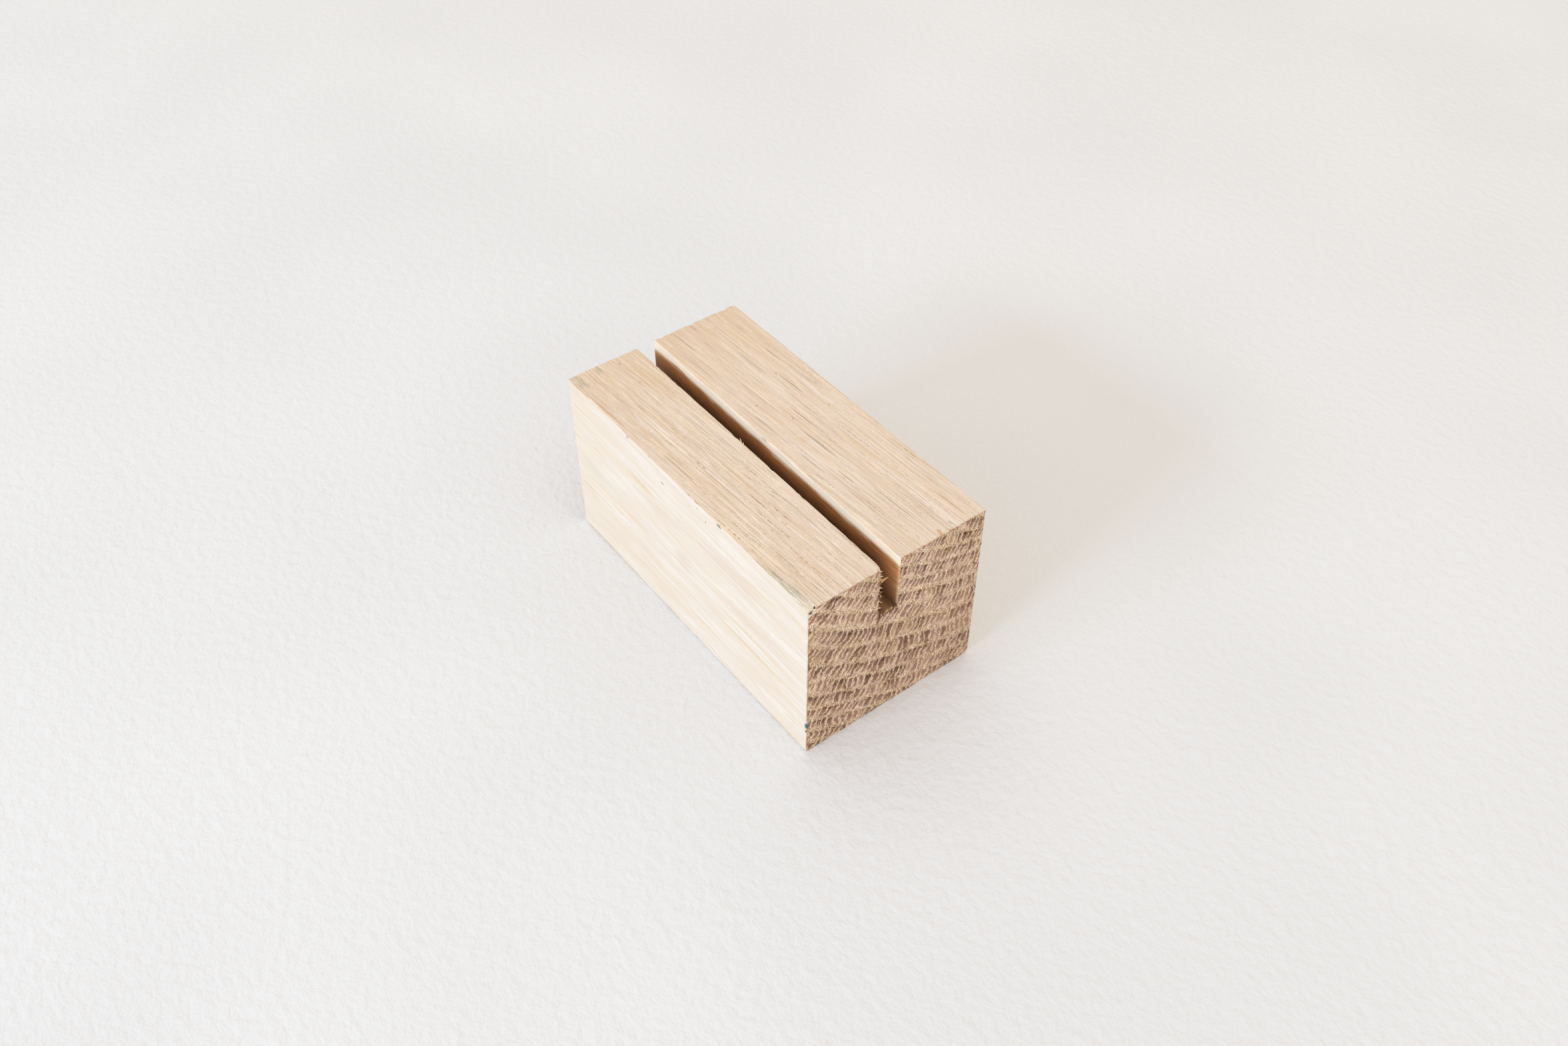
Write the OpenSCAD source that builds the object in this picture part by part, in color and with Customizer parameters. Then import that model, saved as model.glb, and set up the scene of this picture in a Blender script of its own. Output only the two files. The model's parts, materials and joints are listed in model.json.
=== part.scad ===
// Block of solid oak with one straight slot sawn along its top, which holds a
// photograph or a card upright. The block is a single piece of wood.
// X runs along the grain, Y from the front side to the rear side, and Z up from
// the base. The origin is at the middle of the base. The near end is at +X.

/* [Block] */
// Length of the block along the grain
body_len = 61; // [40:0.5:120]
// Width of the block from its front side to its rear side
body_w = 32; // [28:0.5:80]
// Height of the block from its base to its top
body_h = 31; // [20:0.5:60]

/* [Slot] */
// Thickness of the wood in front of the slot
front_cheek = 12.9; // [8:0.1:18]
// Width of the slot, which is one pass of a saw blade
kerf_w = 3.2; // [2:0.1:5]
// Depth of the slot at the two corners of its floor
kerf_depth = 9.9; // [5:0.1:14]
// Height of the ridge that the bevelled saw teeth leave along the floor
floor_crown = 0.5; // [0:0.05:0.8]
// Radius of the worn rear lip of the slot
rear_lip_r = 0.3; // [0.1:0.05:1]
// Radius of the crisp front lip of the slot
front_lip_r = 0.15; // [0.05:0.05:1]

/* [Arrises] */
// Radius of the two long arrises of the top
top_arris_r = 0.25; // [0.1:0.05:1.5]
// Radius of the long arris where the front side meets the base
toe_r = 0.4; // [0.1:0.05:2]
// Radius of the worn long arris where the rear side meets the base
heel_r = 1; // [0.1:0.05:3]
// Radius of every arris round the two end faces
end_arris_r = 0.15; // [0.05:0.05:1]

/* [Near end] */
// Length of the thin wane that runs down to the near end of the front arris
wane_len = 12.5; // [4:0.5:20]
// Width of the wane across the top at the near end
wane_w = 1.3; // [0.5:0.1:3]
// Drop of the wane down the front side at the near end
wane_drop = 0.4; // [0.2:0.05:1.5]
// Length of the chip off the front corner at the near end
chip_len = 1.5; // [0.5:0.1:4]
// Width of that chip across the end face
chip_w = 2; // [0.5:0.1:4]
// Depth of that chip down the end face
chip_drop = 1.1; // [0.4:0.1:3]
// Length of the break in the front lip of the slot at the near end
break_len = 1.6; // [0.5:0.1:4]
// Width of that break across the end face
break_w = 0.9; // [0.4:0.1:3]
// Depth of that break down the end face
break_drop = 1.3; // [0.4:0.1:3]

/* [Hidden] */
// Extra reach of a cut past the face that it starts from
past = 1;
front_y = -body_w / 2;
rear_y = body_w / 2;
near_x = body_len / 2;
slot_front_y = front_y + front_cheek;
slot_rear_y = slot_front_y + kerf_w;
slot_mid_y = (slot_front_y + slot_rear_y) / 2;
slot_corner_z = body_h - kerf_depth;
slot_crown_z = slot_corner_z + floor_crown;
round_steps = 48;

// The waste between a square corner at the origin and its round. The wood lies
// towards side_u and side_v, which are each 1 or -1.
module corner_waste(r, side_u, side_v) {
    difference() {
        translate([side_u > 0 ? -past : -r, side_v > 0 ? -past : -r])
            square(r + past);
        translate([side_u * r, side_v * r])
            circle(r, $fn = round_steps);
    }
}

// A rectangle that stands on its base line, centred left and right, with its
// corners rounded in the order low left, low right, high right, high left.
module eased_outline(w, h, radii) {
    corners = [[-w / 2, 0], [w / 2, 0], [w / 2, h], [-w / 2, h]];
    inward = [[1, 1], [-1, 1], [-1, -1], [1, -1]];
    difference() {
        translate([-w / 2, 0])
            square([w, h]);
        for (i = [0 : 3])
            translate(corners[i])
                corner_waste(radii[i], inward[i][0], inward[i][1]);
    }
}

// Extrudes an outline drawn in Y and Z along X, centred on the origin.
module along_grain(length) {
    translate([-length / 2, 0, 0])
        rotate([90, 0, 90])
            linear_extrude(length)
                children();
}

// The squared and eased blank, before the slot is sawn.
module blank() {
    ends = [end_arris_r, end_arris_r, end_arris_r, end_arris_r];
    intersection() {
        along_grain(body_len)
            eased_outline(body_w, body_h, [toe_r, heel_r, top_arris_r, top_arris_r]);
        translate([0, rear_y, 0])
            rotate([90, 0, 0])
                linear_extrude(body_w)
                    eased_outline(body_len, body_h, ends);
        translate([0, front_y, 0])
            linear_extrude(body_h)
                eased_outline(body_len, body_w, ends);
    }
}

// The slot that the saw leaves: straight walls, a floor with a low ridge
// between its two tooth corners, and a round on each lip.
module kerf() {
    along_grain(body_len + 2 * past) {
        polygon([
            [slot_front_y, body_h + past],
            [slot_front_y, slot_corner_z],
            [slot_mid_y, slot_crown_z],
            [slot_rear_y, slot_corner_z],
            [slot_rear_y, body_h + past]
        ]);
        translate([slot_front_y, body_h])
            corner_waste(front_lip_r, -1, -1);
        translate([slot_rear_y, body_h])
            corner_waste(rear_lip_r, 1, -1);
    }
}

// The wood outside a slanting plane that cuts a corner of the near end. The
// plane meets the three edges of the corner at the given distances from it, and
// toward is 1 where the wood lies towards +Y and -1 where it lies towards -Y.
module corner_cut(corner_y, run, across, drop, toward) {
    normal = [1 / run, -toward / across, 1 / drop];
    reach = 2 * (run + across + drop);
    translate([near_x, corner_y, body_h - drop])
        rotate([0, acos(normal[2] / norm(normal)), atan2(normal[1], normal[0])])
            translate([-reach / 2, -reach / 2, 0])
                cube(reach);
}

// The break in the front lip of the slot at the near end. It stops in the slot,
// so that it leaves the wood behind the slot whole.
module lip_break() {
    intersection() {
        corner_cut(slot_front_y, break_len, break_w, break_drop, -1);
        translate([near_x - break_len, slot_front_y - break_w, body_h - break_drop])
            cube([break_len + past, break_w + kerf_w / 2, break_drop + past]);
    }
}

// The finished block, cut from the blank.
module block() {
    color("burlywood")
        difference() {
            blank();
            kerf();
            corner_cut(front_y, wane_len, wane_w, wane_drop, 1);
            corner_cut(front_y, chip_len, chip_w, chip_drop, 1);
            lip_break();
        }
}

block();
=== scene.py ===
"""Looks for a photo block: one block of bare oak with a slot sawn along its top.

X runs along the grain, Y from the front side to the rear side and Z up. The near end
is at +X. Lengths in this file are in millimetres until a mesh or a lamp is made. All
faces share the lean of one set of fibres. Growth rings and their pores are shaded on
the ends only, and the other faces show streaks that are drawn out along the fibres.
"""

import json
import logging
import math
from dataclasses import dataclass, field
from enum import Enum

import bpy
import numpy as np
from mathutils import Matrix, Vector, noise

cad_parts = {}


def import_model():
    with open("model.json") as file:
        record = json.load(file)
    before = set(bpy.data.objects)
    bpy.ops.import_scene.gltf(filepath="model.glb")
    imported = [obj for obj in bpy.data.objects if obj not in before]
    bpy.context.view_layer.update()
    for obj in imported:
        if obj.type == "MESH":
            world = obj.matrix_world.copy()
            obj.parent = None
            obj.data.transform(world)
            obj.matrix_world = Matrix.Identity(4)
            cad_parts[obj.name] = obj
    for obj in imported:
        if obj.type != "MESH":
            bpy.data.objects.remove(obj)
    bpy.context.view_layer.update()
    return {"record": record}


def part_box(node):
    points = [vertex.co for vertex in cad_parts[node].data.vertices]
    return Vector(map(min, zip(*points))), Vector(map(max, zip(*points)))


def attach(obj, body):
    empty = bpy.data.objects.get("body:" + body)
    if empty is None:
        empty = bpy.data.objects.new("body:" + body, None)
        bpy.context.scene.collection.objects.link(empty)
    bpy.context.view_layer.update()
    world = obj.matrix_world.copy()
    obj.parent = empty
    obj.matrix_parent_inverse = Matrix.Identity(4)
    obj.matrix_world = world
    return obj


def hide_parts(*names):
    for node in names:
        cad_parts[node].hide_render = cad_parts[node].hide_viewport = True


LOG = logging.getLogger("photo_block")
MM = 0.001
BODY = "root"
NODE = "block"
MOUNT = "card_slot"
NEAR_X = 30.5
LEAST_LIGHT = 0.1
NOISE_MEAN = 0.5
NOISE_GAIN = 2.6
SEED_STEP = 17.3
FAR_INSIDE = -10.0
NO_SLOPE = 1e-9
TOUCHING = 1e-6

Colour = tuple[float, float, float]
Point = tuple[float, float, float]
Row = tuple[float, float, float, float]


def linear(red: int, green: int, blue: int) -> Colour:
    """Turns a colour given as three numbers from 0 to 255 into a linear one."""
    shares = (channel / 255 for channel in (red, green, blue))
    return tuple(s / 12.92 if s <= 0.04045 else ((s + 0.055) / 1.055) ** 2.4 for s in shares)


class Face(Enum):
    """The faces of the block, by what cut them."""

    NEAR_END = 0
    FAR_END = 1
    FRONT = 2
    REAR = 3
    TOP = 4
    BASE = 5
    SLOT_FRONT = 6
    SLOT_REAR = 7
    SLOT_FLOOR = 8


class Field:
    """An output of a shader node that can be used in Python expressions."""

    def __init__(self, graph: "Graph", socket: bpy.types.NodeSocket) -> None:
        """Holds the socket and the graph that new nodes go into."""
        self.graph = graph
        self.socket = socket

    def __add__(self, other: "Value") -> "Field":
        """Adds a field or a number."""
        return self.graph.math("ADD", self, other)

    def __radd__(self, other: float) -> "Field":
        """Adds this field to a number."""
        return self.graph.math("ADD", other, self)

    def __sub__(self, other: "Value") -> "Field":
        """Takes a field or a number from this one."""
        return self.graph.math("SUBTRACT", self, other)

    def __rsub__(self, other: float) -> "Field":
        """Takes this field from a number."""
        return self.graph.math("SUBTRACT", other, self)

    def __mul__(self, other: "Value") -> "Field":
        """Multiplies by a field or a number."""
        return self.graph.math("MULTIPLY", self, other)

    def __rmul__(self, other: float) -> "Field":
        """Multiplies a number by this field."""
        return self.graph.math("MULTIPLY", other, self)

    def __truediv__(self, other: "Value") -> "Field":
        """Divides by a field or a number."""
        return self.graph.math("DIVIDE", self, other)

    def __pow__(self, other: "Value") -> "Field":
        """Raises to a power."""
        return self.graph.math("POWER", self, other)

    def __mod__(self, other: "Value") -> "Field":
        """The rest that is left above the last whole multiple."""
        return self.graph.math("FLOORED_MODULO", self, other)

    def __abs__(self) -> "Field":
        """Drops the sign."""
        return self.graph.math("ABSOLUTE", self)

    def smaller(self, other: "Value") -> "Field":
        """The smaller of two."""
        return self.graph.math("MINIMUM", self, other)

    def larger(self, other: "Value") -> "Field":
        """The larger of two."""
        return self.graph.math("MAXIMUM", self, other)

    def rise(self, low: "Value", high: "Value") -> "Field":
        """Goes smoothly from 0 at low to 1 at high.

        Args:
            low: Where the rise starts. It may be above high, for a fall.
            high: Where it ends.

        Returns:
            A field from 0 to 1.
        """
        return self.graph.add(
            "ShaderNodeMapRange",
            {"interpolation_type": "SMOOTHSTEP"},
            {"Value": self, "From Min": low, "From Max": high},
        )


Value = Field | float
Numbers = Field | np.ndarray


def sine(angle: Numbers) -> Numbers:
    """The sine of an angle in radians, for a field or an array."""
    return angle.graph.math("SINE", angle) if isinstance(angle, Field) else np.sin(angle)


class Graph:
    """The node tree of one material, built from expressions."""

    def __init__(self, name: str) -> None:
        """Makes an empty material of that name."""
        self.material = bpy.data.materials.new(name)
        self.material.use_nodes = True
        self.tree = self.material.node_tree
        self.tree.nodes.clear()

    def node(self, kind: str, settings: dict, inputs: dict) -> bpy.types.Node:
        """Adds a node.

        Args:
            kind: The node's type.
            settings: Values of its properties, set before its sockets.
            inputs: Values or fields by the name or number of the socket.

        Returns:
            The new node.
        """
        made = self.tree.nodes.new(kind)
        for name, value in settings.items():
            setattr(made, name, value)
        for key, value in inputs.items():
            if isinstance(value, Field):
                self.tree.links.new(value.socket, made.inputs[key])
            else:
                made.inputs[key].default_value = value
        return made

    def add(self, kind: str, settings: dict, inputs: dict, output: str | int = 0) -> Field:
        """Adds a node and returns one of its outputs as a field."""
        made = self.node(kind, settings, inputs)
        return Field(self, made.outputs[output])

    def math(self, operation: str, *values: Value) -> Field:
        """Adds a Math node on up to three values."""
        return self.add("ShaderNodeMath", {"operation": operation}, dict(enumerate(values)))

    def vector(self, x: Value, y: Value, z: Value) -> Field:
        """Joins three values into a vector."""
        return self.add("ShaderNodeCombineXYZ", {}, {0: x, 1: y, 2: z})

    def parts(self, vector: Field) -> tuple[Field, Field, Field]:
        """Splits a vector into its three values."""
        made = self.node("ShaderNodeSeparateXYZ", {}, {0: vector})
        return tuple(Field(self, made.outputs[i]) for i in range(3))

    def place(self) -> tuple[Field, Field, Field]:
        """The place on the piece in millimetres, as X, Y and Z."""
        spot = self.add("ShaderNodeTexCoord", {}, {}, "Object")
        return self.parts(self.scaled(spot, 1 / MM))

    def scaled(self, vector: Field, share: Value) -> Field:
        """Multiplies a vector or a colour by a number."""
        settings = {"operation": "SCALE"}
        return self.add("ShaderNodeVectorMath", settings, {0: vector, "Scale": share})

    def deepened(self, colour: "Tint", light: Value, depth: tuple[float, float]) -> Field:
        """Lightens or darkens wood, whose dark places are also browner.

        Args:
            colour: The wood's colour.
            light: How much of its light is left, 1 where it stays as it is.
            depth: How much faster green and blue fall than red.

        Returns:
            The new colour.
        """
        light = light.larger(LEAST_LIGHT)
        gains = self.vector(light, light ** depth[0], light ** depth[1])
        return self.add("ShaderNodeVectorMath", {"operation": "MULTIPLY"}, {0: colour, 1: gains})

    def clouds(self, x: Value, y: Value, z: Value, detail: float = 2.0,
               rough: float = 0.5) -> Field:
        """Smooth noise about 0 with clouds about one unit wide.

        Args:
            x: The place, scaled so that one unit is the size of a cloud.
            y: The same.
            z: The same.
            detail: How many finer layers are added.
            rough: How strong each finer layer is.

        Returns:
            A field that mostly lies from -1 to 1.
        """
        raw = self.add(
            "ShaderNodeTexNoise",
            {"noise_dimensions": "3D", "normalize": True},
            {"Vector": self.vector(x, y, z), "Scale": 1.0, "Detail": detail,
             "Roughness": rough},
        )
        return (raw - NOISE_MEAN) * NOISE_GAIN

    def pits(self, x: Value, y: Value) -> tuple[Field, Field]:
        """Scattered dots on a plane, about one unit apart.

        Args:
            x: The place, scaled so that one unit is the distance between dots.
            y: The same.

        Returns:
            The distance from the nearest dot, and a random number for that dot.
        """
        made = self.node(
            "ShaderNodeTexVoronoi",
            {"voronoi_dimensions": "2D", "feature": "F1"},
            {"Vector": self.vector(x, y, 0.0), "Scale": 1.0},
        )
        lot, _, _ = self.parts(Field(self, made.outputs["Color"]))
        return Field(self, made.outputs["Distance"]), lot

    def lot(self, x: Value, y: Value) -> Field:
        """A random number from 0 to 1 that is drawn anew for each pair of values."""
        settings = {"noise_dimensions": "3D"}
        return self.add("ShaderNodeTexWhiteNoise", settings, {"Vector": self.vector(x, y, 0.5)})

    def blend(self, share: Value, first: "Tint", second: "Tint") -> Field:
        """Mixes two colours.

        Args:
            share: How much of the second colour shows, from 0 to 1.
            first: A colour or a field of colour.
            second: The same.

        Returns:
            The mixed colour.
        """
        made = self.tree.nodes.new("ShaderNodeMix")
        made.data_type = "RGBA"
        for socket, value in ((0, share), (6, first), (7, second)):
            if isinstance(value, Field):
                self.tree.links.new(value.socket, made.inputs[socket])
            elif socket:
                made.inputs[socket].default_value = (*value, 1.0)
            else:
                made.inputs[socket].default_value = value
        return Field(self, made.outputs[2])

    def finish(self, colour: "Tint", rough: Value, height: Field,
               shine: float) -> bpy.types.Material:
        """Ends the tree in one plain shader.

        Args:
            colour: The surface's colour.
            rough: Its roughness.
            height: The fine relief in millimetres.
            shine: The specular level, the same all over.

        Returns:
            The finished material.
        """
        bump = self.add("ShaderNodeBump", {}, {"Distance": MM, "Height": height})
        shader = self.add(
            "ShaderNodeBsdfPrincipled",
            {},
            {
                "Base Color": colour if isinstance(colour, Field) else (*colour, 1.0),
                "Roughness": rough,
                "Specular IOR Level": shine,
                "Normal": bump,
            },
        )
        self.node("ShaderNodeOutputMaterial", {}, {"Surface": shader})
        return self.material


Tint = Field | Colour


@dataclass(frozen=True)
class Bend:
    """One slow wave in the run of the growth rings."""

    depth: float
    along: float
    across: float
    up: float
    start: float

    def at(self, x: Numbers, y: Numbers, z: Numbers) -> Numbers:
        """How far the wave moves a ring at a place."""
        return sine(x * self.along + y * self.across + z * self.up + self.start) * self.depth


@dataclass(frozen=True)
class Tree:
    """Where the block lay in the tree: the pith that its growth rings go round."""

    pith_y: float = 36.8
    pith_z: float = 97.4
    near_x: float = NEAR_X
    lean: float = 0.045
    tip: float = -0.012
    inner_ring: float = 74.9
    ring_pitch: float = 2.63
    good_years: float = 0.35
    year_span: float = 31.0
    mean_radius: float = 90.0
    bend_across: float = 0.5
    bends: tuple[Bend, ...] = (
        Bend(0.16, 0.11, 0.42, 0.20, 0.7),
        Bend(0.11, 0.07, -0.31, 0.83, 2.4),
        Bend(0.07, 0.16, 1.35, 0.66, 4.0),
    )

    def run(self, x: Numbers, y: Numbers, z: Numbers) -> tuple[Numbers, Numbers]:
        """Where the fibre through a place comes out of the near end, in Y and Z."""
        behind = self.near_x - x
        return y + behind * self.lean, z + behind * self.tip

    def from_pith(self, x: Numbers, y: Numbers, z: Numbers) -> tuple[Numbers, Numbers]:
        """How far a place is from the pith, in Y and downwards."""
        across, up = self.run(x, y, z)
        bend = sum(wave.at(x, y, z) for wave in self.bends)
        return across - self.pith_y + bend * self.bend_across, self.pith_z - up + bend

    def rings(self, radius: Numbers) -> Numbers:
        """Counts the rings out to a radius, with wider rings in the good years."""
        out = radius - self.inner_ring
        swing = sine(out * (2 * math.pi / self.year_span))
        return out * (1 / self.ring_pitch) + swing * self.good_years


@dataclass(frozen=True)
class Wood:
    """The place in one material, along the fibres and across them."""

    x: Field
    y: Field
    z: Field


@dataclass(frozen=True)
class RingedWood(Wood):
    """That place, with where it lies in the growth rings."""

    radius: Field
    around: Field
    year: Field
    phase: Field
    early: Field


@dataclass(frozen=True)
class Grain:
    """How the rings and the fibres of the oak run, wherever it is cut."""

    tree: Tree = Tree()
    ruffle_around: float = 1.3
    ruffle_out: float = 2.2
    ruffle_length: float = 18.0
    ruffle_depth: float = 0.20
    pore_band: tuple[float, float] = (0.21, 0.09)

    def fibres(self, graph: Graph) -> Wood:
        """Works out the place along the fibres and across them."""
        x, y, z = graph.place()
        return Wood(x, *self.tree.run(x, y, z))

    def rings(self, graph: Graph) -> RingedWood:
        """Works out the place along the fibres and in the growth rings.

        Args:
            graph: The material's graph.

        Returns:
            The fields.
        """
        x, y, z = graph.place()
        tree = self.tree
        across, down = tree.from_pith(x, y, z)
        radius = (across * across + down * down) ** 0.5
        around = graph.math("ARCTAN2", across, down) * tree.mean_radius
        ruffle = graph.clouds(around / self.ruffle_around, radius / self.ruffle_out,
                              x / self.ruffle_length) * self.ruffle_depth
        count = tree.rings(radius + ruffle)
        phase = count % 1.0
        to_pores = phase.smaller(1 - phase)
        run_y, run_z = tree.run(x, y, z)
        return RingedWood(
            x=x, y=run_y, z=run_z, radius=radius, around=around,
            year=count - phase, phase=phase, early=to_pores.rise(*self.pore_band),
        )


@dataclass(frozen=True)
class Threads:
    """Noise that is drawn out along the fibres."""

    length: float
    width: float
    start: float = 0.0
    detail: float = 2.0
    rough: float = 0.6

    def at(self, graph: Graph, wood: Wood) -> Field:
        """The noise in one material, mostly from -1 to 1."""
        return graph.clouds(wood.x / self.length + self.start, wood.y / self.width,
                            wood.z / self.width, self.detail, self.rough)


@dataclass(frozen=True)
class Swirls:
    """Noise laid out round the pith, as the ends of the wood show it."""

    around: float
    out: float
    along: float
    start: float = 0.0

    def at(self, graph: Graph, wood: RingedWood) -> Field:
        """The noise in one material, mostly from -1 to 1."""
        along = wood.x / self.along
        if self.start:
            along = along + self.start
        return graph.clouds(wood.around / self.around, wood.radius / self.out, along, 1.0)


@dataclass(frozen=True)
class Streaks:
    """Soft streaks of one colour that follow the fibres."""

    colour: Colour
    share: float
    threads: Threads
    low: float = -0.4
    high: float = 0.8

    def lay(self, graph: Graph, wood: Wood, colour: Tint) -> Field:
        """Lays the streaks over a colour and returns the result."""
        where = self.threads.at(graph, wood).rise(self.low, self.high)
        return graph.blend(where * self.share, colour, self.colour)


@dataclass(frozen=True)
class Spots:
    """Marks of one colour.

    Each spot is a middle and half sizes, along X, Y and Z. A half size of 0 means that
    the spot doesn't end that way.
    """

    colour: Colour
    strength: float
    ragged: float
    spots: tuple[tuple[float, ...], ...]
    full: float = 0.75
    threads: Threads = Threads(3.0, 0.13, 4.0)
    faint: float = 0.05
    fray: float = 0.2

    def mask(self, graph: Graph, wood: Wood, tree: Tree) -> Field:
        """Where the marks are, from 0 to 1."""
        fuzz = self.threads.at(graph, wood) * self.ragged
        best: Value = 0.0
        for x, y, z, half_x, half_y, half_z in self.spots:
            run_y, run_z = tree.run(x, y, z)
            inside: Value = 1.0
            sizes = ((wood.x, x, half_x), (wood.y, run_y, half_y), (wood.z, run_z, half_z))
            for place, middle, half in sizes:
                if half:
                    off = (place - middle) * (1 / half)
                    inside = inside - off * off
            best = inside.larger(best)
        return (best + fuzz * best.rise(0.0, self.fray)).rise(self.faint, self.full)

    def lay(self, graph: Graph, wood: Wood, tree: Tree, colour: Tint) -> Field:
        """Lays the marks over a colour and returns the result."""
        return graph.blend(self.mask(graph, wood, tree) * self.strength, colour, self.colour)


@dataclass(frozen=True)
class VesselRows:
    """Rows of opened vessels, which show as broken dark dashes.

    Each row is the X and Y of its far end, the X and Y of its near end, and its half
    width.
    """

    colour: Colour = linear(156, 112, 74)
    strength: float = 0.6
    dash: Threads = Threads(0.75, 0.10, 9.0, 1.0)
    open_from: float = 0.05
    open_full: float = 0.45
    fade_length: float = 2.0
    core: float = 0.3
    rows: tuple[tuple[float, ...], ...] = ()

    def lay(self, graph: Graph, wood: Wood, tree: Tree, colour: Tint) -> Field:
        """Lays the rows over a colour and returns the result."""
        best: Value = 0.0
        for far_x, far_y, near_x, near_y, half in self.rows:
            far_run, _ = tree.run(far_x, far_y, 0.0)
            near_run, _ = tree.run(near_x, near_y, 0.0)
            along = wood.x - far_x
            off = abs(wood.y - along * ((near_run - far_run) / (near_x - far_x)) - far_run)
            inside = off.rise(half, half * self.core) * along.rise(0.0, self.fade_length)
            best = (inside * wood.x.rise(near_x, near_x - self.fade_length)).larger(best)
        dash = self.dash.at(graph, wood).rise(self.open_from, self.open_full)
        return graph.blend(dash * best * self.strength, colour, self.colour)


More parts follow.
